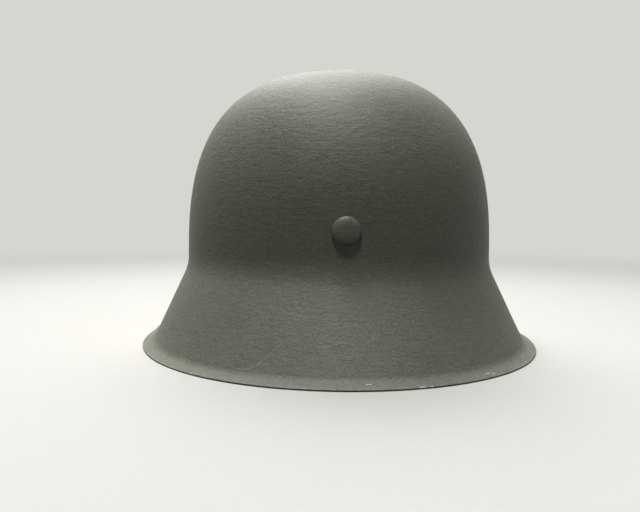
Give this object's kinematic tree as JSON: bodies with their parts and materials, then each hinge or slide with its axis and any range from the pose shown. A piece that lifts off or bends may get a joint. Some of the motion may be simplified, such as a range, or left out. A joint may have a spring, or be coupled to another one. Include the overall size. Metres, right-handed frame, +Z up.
{
  "type": "steel helmet",
  "caption": "Flared steel helmet shell with a raw rim, split rivets, a sprung band liner of leather fingers and an open chin strap on hinged bales.",
  "frame": {"origin": "on the surface that the rim stands on, under the middle of the helmet's length and width", "axes": "+Y is the wearer's forward, towards the visor; +X is the wearer's right; +Z is up, through the crown. The picture looks along +Y, at the nape."},
  "size_m": [0.241, 0.2898, 0.165],
  "materials": {
    "shell_paint": "dark slate grey paint, semi-matt and finely textured",
    "rivet_paint": "dark slate grey paint, semi-matt and finely textured",
    "zinc": "dull zinc",
    "band_zinc": "dull zinc, lightly stained",
    "spring_steel": "blued spring steel",
    "wire_steel": "dull drawn wire",
    "stud_steel": "dull steel",
    "buckle_steel": "dull steel",
    "felt": "pressed wool felt",
    "liner_leather": "vegetable-tanned, lightly creased",
    "strap_leather": "black-dyed, waxed"
  },
  "bodies": {
    "helmet": {"shell": "shell_paint", "rear_rivet": "rivet_paint", "left_rivet": "rivet_paint", "right_rivet": "rivet_paint", "rear_washer": "zinc", "left_washer": "zinc", "right_washer": "zinc", "outer_band": "band_zinc", "inner_band": "band_zinc", "spring_front_left": "spring_steel", "spring_front_right": "spring_steel", "spring_rear_left": "spring_steel", "spring_rear_right": "spring_steel", "spring_rivets": "zinc", "front_felt": "felt", "rear_felt": "felt", "leather_liner": "liner_leather", "liner_clips": "zinc", "left_bracket": "zinc", "right_bracket": "zinc", "bracket_rivets": "zinc", "short_strap": "strap_leather", "long_strap": "strap_leather", "buckle_frame": "buckle_steel"},
    "left_bale": {"left_bale": "wire_steel", "left_stud": "stud_steel"},
    "right_bale": {"right_bale": "wire_steel", "right_stud": "stud_steel"},
    "prong": {"buckle_prong": "buckle_steel"}
  },
  "joints": [
    {"name": "left_bale_hinge", "type": "hinge", "parent": "helmet", "child": "left_bale", "pos_m": [-0.0889, 0.00179, 0.05551], "axis": [0, -1, 0], "range_deg": [-10, 80], "deforming": ["short_strap"]},
    {"name": "right_bale_hinge", "type": "hinge", "parent": "helmet", "child": "right_bale", "pos_m": [0.0889, 0.00179, 0.05551], "axis": [0, 1, 0], "range_deg": [-10, 80], "deforming": ["long_strap"]},
    {"name": "prong_hinge", "type": "hinge", "parent": "helmet", "child": "prong", "pos_m": [-0.034, 0.00179, 0.0037], "axis": [0, -1, 0], "range_deg": [0, 115]}
  ]
}
